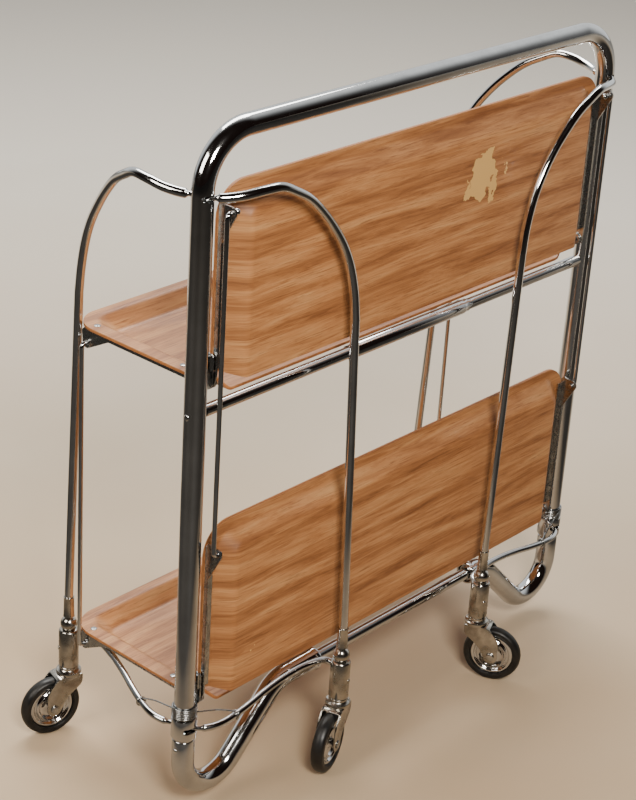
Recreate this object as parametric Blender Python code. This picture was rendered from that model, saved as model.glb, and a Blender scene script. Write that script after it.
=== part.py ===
# Folding two-tier tea trolley: one upright tubular frame in the middle, two laminate
# trays on each side joined by link rods, and four sprung gate legs on casters.
# The far side stands open and the near side is folded. Metres, +Z up, X along the frame.

import math

import bmesh
import bpy
from mathutils import Matrix, Vector

# ---- driving dimensions -------------------------------------------------------------

gap = 0.0003                    # clearance where one piece rests on another
running_gap = 0.0005            # clearance where one piece turns in another

# frame
post_span = 0.636
top_height = 0.748
top_bend = 0.056
tube_radius = 0.011
tube_wall = 0.0015
tube_foot = 0.073
hook_radius = 0.012
hook_wall = 0.0012
hook_top = 0.0985
hook_low = 0.0285
hook_bend = 0.041
hook_rise = math.radians(45)
hook_shoulder = 0.045
hook_reach = {"left": 0.200, "right": 0.168}
lip_radius = 0.0132
rail_height = 0.4705
rail_radius = 0.0063
sleeve_radius = 0.0082
sleeve_half = 0.098
lower_rail_height = 0.108
lower_rail_radius = 0.0068

# trays
tray_height = {"upper": 0.5000, "lower": 0.1415}
tray_half = 0.3015
tray_reach = 0.1990
tray_inner = 0.0020
tray_notch = 0.0125
tray_drop = 0.0010
tray_depth = 0.0160
tray_sheet = 0.0032
tray_corner = 0.034
end_flange = 0.0170
side_flange = 0.0120
wall_run = 0.0155
strip_sheet = 0.0018
strip_width = 0.0105
strip_web = 0.0050
strip_inset = {"near": 0.0007, "far": 0.0029}
pivot_radius = 0.0024
lug_radius = 0.0070
link_place = (0.176, -0.020)
link_radius = 0.0025
link_outboard = 0.0036
plate_start = 0.144

# gates
hoop_height = 0.691
arm_height = 0.113
gate_offset = 0.0048
open_angle = math.radians(6)
closed_angle = math.radians(79)
hoop_radius = 0.00475
arm_radius = 0.0037
neck_radius = 0.0021
pin_length = 0.013
slot_half = 0.0082
leg_top = (0.184, 0.533)
caster_reach = 0.1985
collar_radius = 0.0136
collar_half = 0.012
coil_radius = 0.0126
coil_wire = 0.0009
coil_turns = 6
coil_pitch = 0.0021

# casters
housing_radius = 0.0110
housing_low = 0.0815
housing_top = 0.1275
ball_radius = 0.0092
ferrule_top = 0.168
stem_radius = 0.0048
ring_radius = 0.0140
wheel_radius = 0.0345
tyre_half = 0.0072
tyre_inner = 0.0262
trail = 0.0225
fork_gap = 0.0098
fork_sheet = 0.0018
axle_radius = 0.0026

sides = {"left": -1, "right": 1}
depths = {"near": -1, "far": 1}
heading = {
    ("far", "left"): math.radians(165),
    ("far", "right"): math.radians(15),
    ("near", "left"): math.radians(199),
    ("near", "right"): math.radians(-65),
}

# ---- sizes that follow from the driving ones ----------------------------------------

post_x = post_span / 2
bore_radius = tube_radius - tube_wall
tread = [(tyre_inner + (wheel_radius - tyre_inner) * (0.45 + 0.55 * math.cos(angle)),
          tyre_half * math.sin(angle)) for angle in map(math.radians, (72, 36, 0, -36, -72))]


def wheel_reach(key, sign):
    # how far a tyre stands out from its swivel axis, towards the far or the near side
    angle = heading[key]
    return sign * trail * math.sin(angle) + max(
        radius * abs(math.sin(angle)) + height * abs(math.cos(angle))
        for radius, height in tread)


far_reach = (gate_offset + caster_reach * math.cos(open_angle)
             + max(wheel_reach(("far", side), 1) for side in ("left", "right")))
near_reach = (gate_offset + caster_reach * math.cos(closed_angle)
              + max(wheel_reach(("near", side), -1) for side in ("left", "right")))
frame_y = (near_reach - far_reach) / 2


# ---- small tools --------------------------------------------------------------------

def clear_scene():
    for thing in list(bpy.data.objects):
        bpy.data.objects.remove(thing, do_unlink=True)


def make_material(name, colour, roughness, metallic):
    material = bpy.data.materials.new(name)
    material.use_nodes = True
    shader = material.node_tree.nodes["Principled BSDF"]
    shader.inputs["Base Color"].default_value = (*colour, 1.0)
    shader.inputs["Roughness"].default_value = roughness
    shader.inputs["Metallic"].default_value = metallic
    material.diffuse_color = (*colour, 1.0)
    return material


def add_node(name, mesh, material, parent=None):
    mesh.name = name
    mesh.materials.clear()
    mesh.materials.append(material)
    mesh.shade_smooth()
    mesh.set_sharp_from_angle(angle=math.radians(35))
    piece = bpy.data.objects.new(name, mesh)
    bpy.context.collection.objects.link(piece)
    piece.parent = parent
    return piece


def add_axis(name, matrix, parent=None):
    axis = bpy.data.objects.new(name, None)
    axis.empty_display_size = 0.02
    bpy.context.collection.objects.link(axis)
    axis.parent = parent
    axis.matrix_local = matrix
    return axis


def mesh_from(bm):
    bmesh.ops.recalc_face_normals(bm, faces=bm.faces)
    mesh = bpy.data.meshes.new("shape")
    bm.to_mesh(mesh)
    bm.free()
    return mesh


def placed(mesh, matrix):
    copy = mesh.copy()
    copy.transform(matrix)
    if matrix.determinant() < 0:
        copy.flip_normals()
    return copy


def combined(mesh, others, operation):
    # one exact Boolean after another, read back as a plain mesh
    body = bpy.data.objects.new("body", mesh)
    bpy.context.collection.objects.link(body)
    tools = []
    for other in others:
        tool = bpy.data.objects.new("tool", other)
        bpy.context.collection.objects.link(tool)
        tools.append(tool)
        step = body.modifiers.new("step", "BOOLEAN")
        step.operation = operation
        step.solver = "EXACT"
        step.object = tool
    graph = bpy.context.evaluated_depsgraph_get()
    result = bpy.data.meshes.new_from_object(body.evaluated_get(graph))
    for thing in [body, *tools]:
        bpy.data.objects.remove(thing, do_unlink=True)
    return result


def cut(mesh, *tools):
    return combined(mesh, tools, "DIFFERENCE")


def joined(mesh, *parts):
    return combined(mesh, parts, "UNION")


def box(low, high):
    bm = bmesh.new()
    low, high = Vector(low), Vector(high)
    size = high - low
    matrix = Matrix.Translation((low + high) / 2) @ Matrix.Diagonal((*size, 1.0))
    bmesh.ops.create_cube(bm, size=1.0, matrix=matrix)
    return mesh_from(bm)


def cylinder(start, end, radius, segments=16, end_radius=None):
    start, end = Vector(start), Vector(end)
    along = end - start
    turn = along.to_track_quat("Z", "Y").to_matrix().to_4x4()
    bm = bmesh.new()
    bmesh.ops.create_cone(
        bm, cap_ends=True, segments=segments, radius1=radius,
        radius2=radius if end_radius is None else end_radius, depth=along.length,
        matrix=Matrix.Translation((start + end) / 2) @ turn)
    return mesh_from(bm)


def extruded(outline, start, thickness):
    # outline in (y, z), made solid from x = start to x = start + thickness
    bm = bmesh.new()
    face = bm.faces.new([bm.verts.new((start, y, z)) for y, z in outline])
    moved = bmesh.ops.extrude_face_region(bm, geom=[face])["geom"]
    verts = [item for item in moved if isinstance(item, bmesh.types.BMVert)]
    bmesh.ops.translate(bm, verts=verts, vec=(thickness, 0, 0))
    return mesh_from(bm)


def turned(profile, segments=16):
    # closed (radius, height) profile spun about Z
    bm = bmesh.new()
    verts = [bm.verts.new((radius, 0, height)) for radius, height in profile]
    edges = [bm.edges.new((verts[i - 1], verts[i])) for i in range(len(verts))]
    if min(radius for radius, _ in profile) <= 0:
        on_axis = [i for i, (radius, _) in enumerate(profile) if radius <= 0]
        axis_edge = bm.edges.get((verts[on_axis[0]], verts[on_axis[-1]]))
        bm.edges.remove(axis_edge)
        edges.remove(axis_edge)
    bmesh.ops.spin(bm, geom=verts + edges, cent=(0, 0, 0), axis=(0, 0, 1),
                   angle=math.tau, steps=segments, use_merge=True, use_duplicate=False)
    bmesh.ops.remove_doubles(bm, verts=bm.verts, dist=0.00001)
    return mesh_from(bm)


def arc(centre, radius, start, end, steps):
    return [(centre[0] + radius * math.cos(start + (end - start) * i / steps),
             centre[1] + radius * math.sin(start + (end - start) * i / steps))
            for i in range(steps + 1)]


def rounded_route(corners, radii, steps=7):
    # straight runs with an arc of the given radius at each inner corner
    corners = [Vector(corner) for corner in corners]
    route = [corners[0]]
    for before, corner, after, radius in zip(corners, corners[1:], corners[2:], radii):
        back, ahead = (before - corner).normalized(), (after - corner).normalized()
        half = back.angle(ahead) / 2
        centre = corner + (back + ahead).normalized() * radius / math.sin(half)
        first = corner + back * radius / math.tan(half) - centre
        last = corner + ahead * radius / math.tan(half) - centre
        sweep = first.angle(last)
        for i in range(steps + 1):
            part = i / steps
            mix = (first * math.sin((1 - part) * sweep) + last * math.sin(part * sweep))
            route.append(centre + mix / math.sin(sweep))
    route.append(corners[-1])
    return route


def smooth_route(knots, steps=4):
    # Catmull-Rom curve through the knots
    knots = [Vector(knot) for knot in knots]
    ends = [2 * knots[0] - knots[1], *knots, 2 * knots[-1] - knots[-2]]
    route = [knots[0]]
    for a, b, c, d in zip(ends, ends[1:], ends[2:], ends[3:]):
        for i in range(1, steps + 1):
            t = i / steps
            route.append(0.5 * (2 * b + (c - a) * t + (2 * a - 5 * b + 4 * c - d) * t ** 2
                                + (3 * b - a - 3 * c + d) * t ** 3))
    return route


def swept(route, radii, corners=12):
    # round bar along a route; radii is one number or one per point
    if isinstance(radii, float):
        radii = [radii] * len(route)
    curve = bpy.data.curves.new("route", "CURVE")
    curve.dimensions = "3D"
    curve.fill_mode = "FULL"
    curve.twist_mode = "MINIMUM"
    curve.bevel_depth = 1.0
    curve.bevel_resolution = (corners - 4) // 2
    curve.use_fill_caps = True
    spline = curve.splines.new("POLY")
    spline.points.add(len(route) - 1)
    for point, place, radius in zip(spline.points, route, radii):
        point.co = (*place, 1.0)
        point.radius = radius
    holder = bpy.data.objects.new("route", curve)
    bpy.context.collection.objects.link(holder)
    graph = bpy.context.evaluated_depsgraph_get()
    mesh = bpy.data.meshes.new_from_object(holder.evaluated_get(graph))
    bpy.data.objects.remove(holder, do_unlink=True)
    bm = bmesh.new()
    bm.from_mesh(mesh)
    bmesh.ops.remove_doubles(bm, verts=bm.verts, dist=0.00001)
    return mesh_from(bm)


def mirrored_x(mesh):
    return placed(mesh, Matrix.Diagonal((-1, 1, 1, 1)))


# ---- frame --------------------------------------------------------------------------

def wall_slots(height, half_height, outer, half_width=slot_half):
    # two windows in a post's wall, towards the near and the far side
    return [box((-half_width, min(sign * 0.0055, sign * outer), height - half_height),
                (half_width, max(sign * 0.0055, sign * outer), height + half_height))
            for sign in (-1, 1)]


def handle_tube_mesh():
    corners = [(-post_x, 0, tube_foot), (-post_x, 0, top_height),
               (post_x, 0, top_height), (post_x, 0, tube_foot)]
    tube = swept(rounded_route(corners, (top_bend, top_bend), 6), tube_radius, 16)
    corners[0] = (-post_x, 0, tube_foot - 0.005)
    corners[3] = (post_x, 0, tube_foot - 0.005)
    bore = swept(rounded_route(corners, (top_bend, top_bend), 6), bore_radius, 16)
    tools = [bore]
    for side in sides.values():
        move = Matrix.Translation((side * post_x, 0, 0))
        for height in (hoop_height, arm_height):
            for tool in wall_slots(height, neck_radius + 0.0009, tube_radius + 0.003):
                tools.append(placed(tool, move))
    rivets = [rivet_mesh((side * (post_x + tube_radius - 0.0006), 0, rail_height),
                         (side, 0, 0), 0.0032, 0.0020) for side in sides.values()]
    return joined(cut(tube, *tools), *rivets)


def hook_route(side, start, extra):
    # down from the post, round the bottom, up at 45 degrees and level into the rail
    turn = math.pi / 2 + hook_rise
    low_corner = hook_low + hook_bend - hook_bend * math.tan(turn / 2)
    run = (lower_rail_height - low_corner) / math.tan(hook_rise)
    reach = hook_reach[side] + extra
    corners = [(0, 0, start), (0, 0, low_corner), (run, 0, lower_rail_height),
               (reach, 0, lower_rail_height)]
    route = rounded_route(corners, (hook_bend, hook_shoulder), 7)
    return [Vector((p.x - post_x, p.y, p.z)) for p in route]


def hook_tube_mesh(side):
    # built for the left post
    route = hook_route(side, hook_top, 0)
    towards = (route[-1] - route[-2]).normalized()
    route[-1:] = [route[-1] - towards * 0.006, route[-1] - towards * 0.002, route[-1]]
    radii = [hook_radius] * (len(route) - 2) + [lip_radius, lip_radius]
    tube = swept(route, radii, 16)
    bore = swept(hook_route(side, hook_top + 0.005, 0.005), hook_radius - hook_wall, 12)
    post = Matrix.Translation((-post_x, 0, 0))
    # core: closes the bend's top and stands inside the post to carry the lower pins;
    # the post's wall then drops into a ring-shaped socket round it
    top = arm_height - neck_radius - running_gap
    thick = tube_radius + gap - 0.0002
    core = turned([(0, tube_foot - 0.006), (thick, tube_foot - 0.006), (thick, top), (0, top)])
    core = placed(cut(core, *pin_bores(top)), post)
    socket = placed(turned([(bore_radius - gap, tube_foot - gap),
                            (tube_radius + gap, tube_foot - gap),
                            (tube_radius + gap, top + 0.004),
                            (bore_radius - gap, top + 0.004)]), post)
    rivet = rivet_mesh((-post_x - hook_radius + 0.0006, 0, hook_top - 0.012), (-1, 0, 0),
                       0.0028, 0.0018)
    return joined(cut(joined(cut(tube, bore), core), socket), rivet)


def lower_rail_mesh():
    plug = hook_radius - hook_wall - 2 * gap
    left, right = -post_x + hook_reach["left"], post_x - hook_reach["right"]
    places = (-0.010, -0.003, -0.002, 0.002)
    xs = [left + p for p in places] + [right - p for p in reversed(places)]
    radii = [plug, plug, lower_rail_radius, lower_rail_radius]
    radii += list(reversed(radii))
    return swept([Vector((x, 0, lower_rail_height)) for x in xs], radii, 12)


def upper_rail_mesh():
    end = post_x - tube_radius - gap
    return swept([Vector((x, 0, rail_height)) for x in (-end, end)], rail_radius, 12)


def upper_rail_sleeve_mesh():
    crimp = rail_radius + 0.0010
    xs = (-sleeve_half, -sleeve_half + 0.006, -sleeve_half + 0.009,
          sleeve_half - 0.009, sleeve_half - 0.006, sleeve_half)
    radii = (crimp, crimp, sleeve_radius, sleeve_radius, crimp, crimp)
    sleeve = swept([Vector((x, 0, rail_height)) for x in xs], list(radii), 12)
    bore = swept([Vector((x, 0, rail_height)) for x in (-0.12, 0.12)], rail_radius + gap, 12)
    return cut(sleeve, bore)


def pin_bores(top):
    # one bore for each gate's pin, side by side across the post
    return [cylinder((0, sign * gate_offset, top - 0.0125), (0, sign * gate_offset, top + 0.002),
                     neck_radius + running_gap, 10) for sign in (-1, 1)]


def hinge_plug_mesh():
    # sits inside the post under the hoops' necks
    top = hoop_height - neck_radius - running_gap
    plug = cylinder((0, 0, top - 0.015), (0, 0, top), bore_radius - gap, 12)
    return cut(plug, *pin_bores(top))


def collar_mesh():
    inner = tube_radius + gap
    low, high = arm_height - collar_half, arm_height + collar_half
    edge = 0.001
    ring = turned([(inner, low), (collar_radius - edge, low), (collar_radius, low + edge),
                   (collar_radius, high - edge), (collar_radius - edge, high), (inner, high)], 16)
    return cut(ring, *wall_slots(arm_height, neck_radius + 0.0012, collar_radius + 0.003,
                                 slot_half + 0.0020))


def coil_mesh():
    base = arm_height + collar_half + gap + coil_wire
    steps = 9
    route = []
    for i in range(coil_turns * steps + 1):
        angle = math.tau * i / steps
        route.append(Vector((coil_radius * math.cos(angle), coil_radius * math.sin(angle),
                             base + coil_pitch * i / steps)))
    return swept(route, coil_wire, 4)


def bracket_mesh(height):
    # saddle on the post's inner face, a tongue down to the pivot, and the pivot pin;
    # built for the left post, x measured from the frame's centre
    face = -post_x + tube_radius + gap
    tongue = -tray_half - 0.0025
    saddle = box((face, -0.0065, height + 0.014), (tongue + 0.001, 0.0065, height + 0.030))
    outline = arc((0, height), 0.0072, math.pi, math.tau, 8)
    outline += [(0.0072, height + 0.028), (0.005, height + 0.031),
                (-0.005, height + 0.031), (-0.0072, height + 0.028)]
    plate = extruded(outline, tongue, 0.0019)
    inner = -tray_half + strip_inset["far"] + strip_sheet
    pin = cylinder((tongue + 0.001, 0, height), (inner + 0.002, 0, height), pivot_radius, 12)
    head = cylinder((inner + gap, 0, height), (inner + 0.0022, 0, height), 0.0042, 12, 0.0030)
    return joined(plate, saddle, pin, head)


def rivet_mesh(place, towards, radius, height):
    place, towards = Vector(place), Vector(towards).normalized()
    return cylinder(place, place + towards * height, radius, 12, radius * 0.6)


def add_frame(chrome, steel):
    add_node("handle_tube", handle_tube_mesh(), chrome, frame)
    add_node("upper_rail", upper_rail_mesh(), chrome, frame)
    add_node("upper_rail_sleeve", upper_rail_sleeve_mesh(), chrome, frame)
    add_node("lower_rail", lower_rail_mesh(), chrome, frame)
    for side, sign in sides.items():
        post = Matrix.Translation((sign * post_x, 0, 0))
        hook = hook_tube_mesh(side)
        add_node(side + "_hook_tube", mirrored_x(hook) if sign > 0 else hook, chrome, frame)
        add_node(side + "_hinge_plug", placed(hinge_plug_mesh(), post), steel, frame)
        add_node(side + "_collar", placed(collar_mesh(), post), chrome, frame)
        add_node(side + "_gate_spring", placed(coil_mesh(), post), steel, frame)
        for level, height in tray_height.items():
            bracket = bracket_mesh(height)
            if sign > 0:
                bracket = mirrored_x(bracket)
            add_node(side + "_" + level + "_tray_bracket", bracket, steel, frame)


# ---- trays --------------------------------------------------------------------------

def tray_loop(bm, across, along, radius, height):
    # one outline of the tray: open at the inner long edge, rounded at the outer corners,
    # notched at the inner ones to leave room for the pivots
    x, y = tray_half - across, tray_reach - along
    floor_half = tray_half - end_flange - wall_run
    notch = (tray_notch - tray_inner) * (x - floor_half) / (tray_half - floor_half)
    points = [(x, tray_inner + notch)]
    points += arc((x - radius, y - radius), radius, 0, math.pi / 2, 5)
    points += arc((radius - x, y - radius), radius, math.pi / 2, math.pi, 5)
    points.append((-x, tray_inner + notch))
    return [bm.verts.new((px, py, height)) for px, py in points]


def tray_mesh():
    rim = -tray_drop
    bm = bmesh.new()
    # flat flange, sloping wall and floor
    profile = [(0.0, 0.0, tray_corner, rim),
               (end_flange, side_flange, tray_corner - 0.012, rim),
               (end_flange + wall_run, side_flange + wall_run, 0.012, rim - tray_depth)]
    inside = [tray_loop(bm, *sizes, height) for *sizes, height in profile]
    outside = [tray_loop(bm, *sizes, height - tray_sheet) for *sizes, height in profile]
    bands = list(zip(inside, inside[1:])) + [(inside[0], outside[0])]
    bands += list(zip(outside, outside[1:]))
    for upper, lower in bands:
        for i in range(len(upper) - 1):
            bm.faces.new((upper[i], upper[i + 1], lower[i + 1], lower[i]))
    bm.faces.new(inside[-1])
    bm.faces.new(outside[-1])
    for end in (0, -1):
        bm.faces.new([loop[end] for loop in inside] + [loop[end] for loop in reversed(outside)])
    bm.faces.new((inside[-1][0], inside[-1][-1], outside[-1][-1], outside[-1][0]))
    return mesh_from(bm)


def tray_arm_mesh(depth):
    # angle strip screwed under the end flange, with an ear for the pivot at its inner end
    # and a plate for the link rod at its outer end; built for the -X end
    top = -tray_drop - tray_sheet - gap
    low = top - strip_web
    link_y, link_z = link_place
    outline = arc((0, 0), lug_radius, math.radians(60), math.radians(250), 10)
    outline += [(0.008, low), (plate_start, low)]
    outline += arc((link_y, link_z), 0.0062, math.radians(235), math.radians(350), 5)
    outline += [(link_y + 0.0070, top - 0.003), (link_y + 0.0040, top), (0.0112, top)]
    start = -tray_half + strip_inset[depth]
    web = extruded(outline, start, strip_sheet)
    leg = box((start + 0.0005, 0.0140, top - strip_sheet),
              (-tray_half + strip_width, link_y - 0.001, top))
    holes = [cylinder((start - 0.003, 0, 0), (start + 0.005, 0, 0),
                      pivot_radius + running_gap, 12),
             cylinder((start - 0.003, link_y, link_z), (start + 0.005, link_y, link_z),
                      link_radius + running_gap, 12)]
    return cut(joined(web, leg), *holes)


def link_rod_mesh():
    # built for the -X end: a rod hooked inwards through the plates of both trays and headed over
    link_y, link_z = link_place
    high = link_z
    low = high - (tray_height["upper"] - tray_height["lower"])
    x = -tray_half - link_outboard
    inner = -tray_half + strip_inset["far"] + strip_sheet
    upper_end, lower_end = inner + 0.0030, inner + 0.0016
    corners = [(upper_end, link_y, high), (x, link_y, high), (x, link_y, low),
               (lower_end, link_y, low)]
    rod = swept(rounded_route(corners, (0.0045, 0.0045), 3), link_radius, 8)
    ball = bmesh.new()
    bmesh.ops.create_icosphere(ball, subdivisions=2, radius=0.0033,
                               matrix=Matrix.Translation((upper_end + 0.001, link_y, high)))
    return joined(rod, mesh_from(ball))


def add_trays(laminate, chrome, steel):
    tray, rod = tray_mesh(), link_rod_mesh()
    for depth, sign in depths.items():
        # far trays lie open; near trays are turned about Z and folded up by 90 degrees
        fold = Matrix.Identity(4)
        if sign < 0:
            fold = Matrix.Rotation(-math.pi / 2, 4, "X") @ Matrix.Rotation(math.pi, 4, "Z")
        arm = tray_arm_mesh(depth)
        # a near tray is turned about Z, so its own -X end lies on the right
        own = {"left": sign < 0, "right": sign > 0}
        for level, height in tray_height.items():
            name = depth + "_" + level + "_tray"
            axis = add_axis(name + "_axis", Matrix.Translation((0, 0, height)) @ fold, frame)
            add_node(name, tray.copy(), laminate, axis)
            for side, flip in own.items():
                shape = mirrored_x(arm) if flip else arm.copy()
                add_node(name + "_" + side + "_arm", shape, steel, axis)
        link_y, link_z = link_place
        # the rods stay upright, so only the place of their upper pivot follows the fold
        if sign > 0:
            shift = Matrix.Identity(4)
        else:
            shift = (Matrix.Translation((0, link_z, link_y))
                     @ Matrix.Translation((0, -link_y, -link_z)))
        axis = add_axis(depth + "_link_axis",
                        Matrix.Translation((0, 0, tray_height["upper"])) @ shift, frame)
        for side in sides:
            # the rods never turn, so they keep their own left and right
            shape = mirrored_x(rod) if side == "right" else rod.copy()
            add_node(depth + "_" + side + "_link_rod", shape, chrome, axis)


# ---- gates --------------------------------------------------------------------------

def flat_route(knots, hand, height):
    # knots are (along the gate, towards closing, above the hinge height) in millimetres
    return [Vector((r * 0.001, hand * t * 0.001, height + z * 0.001)) for r, t, z in knots]


def gate_bar(knots, hand, height, full, tail):
    # a pin standing in the hinge plug, bent over into a slim neck that turns in the
    # post's slot, then the full bar
    corner = Vector((0, 0, height))
    curve = smooth_route(flat_route(knots, hand, height), 2)
    foot = corner - Vector((0, 0, pin_length))
    neck = rounded_route([foot, corner, curve[1]], (0.003,), 3) + [curve[2]]
    shoulder = curve[2].lerp(curve[3], 0.08)
    bar = [shoulder, *curve[3:], *tail]
    return swept(neck + bar, [neck_radius] * len(neck) + [full] * len(bar), 8)


def hoop_mesh(hand):
    knots = [(0, 0, 0), (13, -9, 0), (30, -17, 2), (50, -21, 5), (70, -21, 5),
             (88, -18, -3), (107, -14, -14), (125, -10, -30), (143, -6, -50),
             (160, -3, -74), (172, -1, -99), (180, 0, -128)]
    leg_r, leg_z = leg_top
    knots.append((leg_r * 1000, 0, (leg_z - hoop_height) * 1000))
    tail = [Vector((caster_reach, 0, ferrule_top + 0.006)),
            Vector((caster_reach, 0, ferrule_top - 0.020))]
    return gate_bar(knots, hand, hoop_height, hoop_radius, tail)


def lower_arm_mesh(hand):
    knots = [(0, 0, 0), (12, -9.5, 0), (30, -14, 1), (52, -11, 2.5), (76, -5, 5),
             (100, 2, 8), (125, 8, 10.5), (150, 12.5, 12), (168, 14, 12), (179, 15, 11),
             (187, 15.3, 9.5), (190.9, 13.2, 8.5)]
    # the end meets the housing square on
    towards, out = math.radians(120), housing_radius + gap
    tail = [Vector((caster_reach + out * math.cos(towards), hand * out * math.sin(towards),
                    arm_height + 0.008))]
    return gate_bar(knots, hand, arm_height, arm_radius, tail)


def housing_mesh():
    bore = stem_radius + gap
    socket = hoop_radius + gap
    profile = [(bore, housing_low), (housing_radius - 0.0006, housing_low),
               (housing_radius, housing_low + 0.001), (housing_radius, housing_top - 0.001),
               (housing_radius - 0.002, housing_top)]
    centre = housing_top + ball_radius * 0.75
    for i in range(5):
        angle = math.radians(-44 + 27 * i)
        profile.append((ball_radius * math.cos(angle), centre + ball_radius * math.sin(angle)))
    profile += [(0.0064, centre + ball_radius + 0.001), (0.0056, ferrule_top - 0.001),
                (0.0059, ferrule_top), (socket, ferrule_top),
                (socket, ferrule_top - 0.022), (0, ferrule_top - 0.023)]
    profile += [(0, housing_top - 0.004), (bore, housing_top - 0.004)]
    return turned(profile, 14)


def fork_mesh():
    # local +X trails behind the swivel; cheeks either side of the wheel
    outer = fork_gap + fork_sheet
    top = housing_low - 0.0095
    axle = (trail, wheel_radius)
    outline = [(-0.0120, top), (0.0135, top), (0.0200, top - 0.004), (0.0300, top - 0.018)]
    outline += arc(axle, 0.0085, math.radians(20), math.radians(-160), 6)
    outline += [(0.0040, top - 0.024), (-0.0090, top - 0.014), (-0.0120, top - 0.006)]
    body = extruded(outline, -outer, 2 * outer)
    body = placed(body, Matrix.Rotation(-math.pi / 2, 4, "Z"))
    channel = box((-0.03, -fork_gap, 0), (0.06, fork_gap, top - 0.0022))
    hole = cylinder((trail, -0.02, wheel_radius), (trail, 0.02, wheel_radius),
                    axle_radius + gap, 12)
    cap_low, cap_high = top - 0.001, housing_low - gap - 0.0002
    ring = turned([(0, cap_low), (ring_radius, cap_low), (ring_radius, cap_high - 0.003),
                   (ring_radius - 0.003, cap_high), (stem_radius, cap_high),
                   (stem_radius, housing_top - 0.008), (0, housing_top - 0.008)], 14)
    return joined(cut(body, channel, hole), ring)


def lathe_across(mesh):
    # turned about Z, laid along Y at the wheel's centre
    turn = Matrix.Rotation(math.pi / 2, 4, "X")
    return placed(mesh, Matrix.Translation((trail, 0, wheel_radius)) @ turn)


def axle_mesh():
    end = fork_gap + fork_sheet + gap
    pin = cylinder((0, 0, -end - 0.001), (0, 0, end + 0.001), axle_radius, 12)
    heads = [cylinder((0, 0, s * end), (0, 0, s * (end + 0.0018)), 0.0048, 12, 0.0032)
             for s in (-1, 1)]
    return lathe_across(joined(pin, *heads))


def disc_mesh():
    half_hub, half_web, rim = fork_gap - running_gap, 0.0016, 0.0052
    inner = axle_radius + gap
    half = [(inner, half_hub), (0.0065, half_hub), (0.0080, half_web), (0.0205, half_web),
            (0.0235, rim), (tyre_inner - gap, rim)]
    profile = half + [(radius, -height) for radius, height in reversed(half)]
    return lathe_across(turned(profile, 20))


def tyre_mesh():
    profile = [(tyre_inner, -tyre_half + 0.001), (tyre_inner, tyre_half - 0.001),
               (tyre_inner + 0.001, tyre_half)]
    profile += tread
    profile.append((tyre_inner + 0.001, -tyre_half))
    return lathe_across(turned(profile, 20))


def gate_matrix(depth, side, angle):
    s, f = sides[side], depths[depth]
    facing = math.atan2(f * math.cos(angle), -s * math.sin(angle))
    return (Matrix.Translation((s * post_x, f * gate_offset, 0))
            @ Matrix.Rotation(facing, 4, "Z"))


def add_gates(chrome, steel, zinc, rubber):
    housing, fork, axle, disc, tyre = (housing_mesh(), fork_mesh(), axle_mesh(), disc_mesh(),
                                       tyre_mesh())
    for depth, f in depths.items():
        for side, s in sides.items():
            name = depth + "_" + side
            angle = open_angle if f > 0 else closed_angle
            matrix = gate_matrix(depth, side, angle)
            gate = add_axis(name + "_gate_axis", matrix, frame)
            hand = s * f
            add_node(name + "_hoop", hoop_mesh(hand), chrome, gate)
            add_node(name + "_lower_arm", lower_arm_mesh(hand), chrome, gate)
            move = Matrix.Translation((caster_reach, 0, 0))
            add_node(name + "_caster_housing", placed(housing, move), zinc, gate)
            turn = heading[depth, side] - matrix.to_euler().z
            swivel = add_axis(name + "_swivel_axis", move @ Matrix.Rotation(turn, 4, "Z"), gate)
            add_node(name + "_fork", fork.copy(), zinc, swivel)
            add_node(name + "_axle", axle.copy(), steel, swivel)
            add_node(name + "_wheel_disc", disc.copy(), chrome, swivel)
            add_node(name + "_tyre", tyre.copy(), rubber, swivel)


clear_scene()
frame = add_axis("cart_origin", Matrix.Translation((0, frame_y, 0)))
chrome_plate = make_material("chrome_plate", (0.78, 0.78, 0.80), 0.12, 1.0)
bright_steel = make_material("bright_steel", (0.62, 0.62, 0.63), 0.28, 1.0)
zinc_casting = make_material("zinc_casting", (0.60, 0.58, 0.54), 0.35, 1.0)
walnut_laminate = make_material("walnut_laminate", (0.36, 0.20, 0.10), 0.45, 0.0)
black_rubber = make_material("black_rubber", (0.02, 0.02, 0.02), 0.7, 0.0)
add_frame(chrome_plate, bright_steel)
add_trays(walnut_laminate, chrome_plate, bright_steel)
add_gates(chrome_plate, bright_steel, zinc_casting, black_rubber)
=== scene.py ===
# Folding two-tier tea trolley, shown with its far trays open and its near trays folded.
# Smooth pieces stand in for the faceted ones and ride on the same bodies. Metres, +Z up.

import math

import bmesh
import bpy
from mathutils import Matrix, Vector


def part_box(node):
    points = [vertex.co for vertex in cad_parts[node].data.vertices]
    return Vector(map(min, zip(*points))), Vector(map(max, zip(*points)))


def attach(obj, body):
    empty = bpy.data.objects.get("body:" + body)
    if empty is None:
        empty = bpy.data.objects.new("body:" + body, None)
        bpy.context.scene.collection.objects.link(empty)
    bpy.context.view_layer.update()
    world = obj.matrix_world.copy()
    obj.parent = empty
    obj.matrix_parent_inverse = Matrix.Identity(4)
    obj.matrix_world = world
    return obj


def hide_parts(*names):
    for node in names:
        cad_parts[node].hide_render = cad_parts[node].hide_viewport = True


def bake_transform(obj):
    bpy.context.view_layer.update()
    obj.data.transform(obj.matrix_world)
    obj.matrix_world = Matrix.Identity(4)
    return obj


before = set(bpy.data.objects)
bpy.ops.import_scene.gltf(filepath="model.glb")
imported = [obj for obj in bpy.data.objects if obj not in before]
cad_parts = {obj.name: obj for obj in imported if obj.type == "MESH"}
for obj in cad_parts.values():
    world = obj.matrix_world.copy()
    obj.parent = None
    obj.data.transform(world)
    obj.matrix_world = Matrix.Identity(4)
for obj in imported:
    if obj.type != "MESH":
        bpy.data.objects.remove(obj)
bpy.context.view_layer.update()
railLow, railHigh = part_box("upper_rail")
frameY = (railLow.y + railHigh.y) / 2  # the upright frame stands in this plane
print("frame loaded, upright plane at y =", round(frameY, 5))


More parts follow.
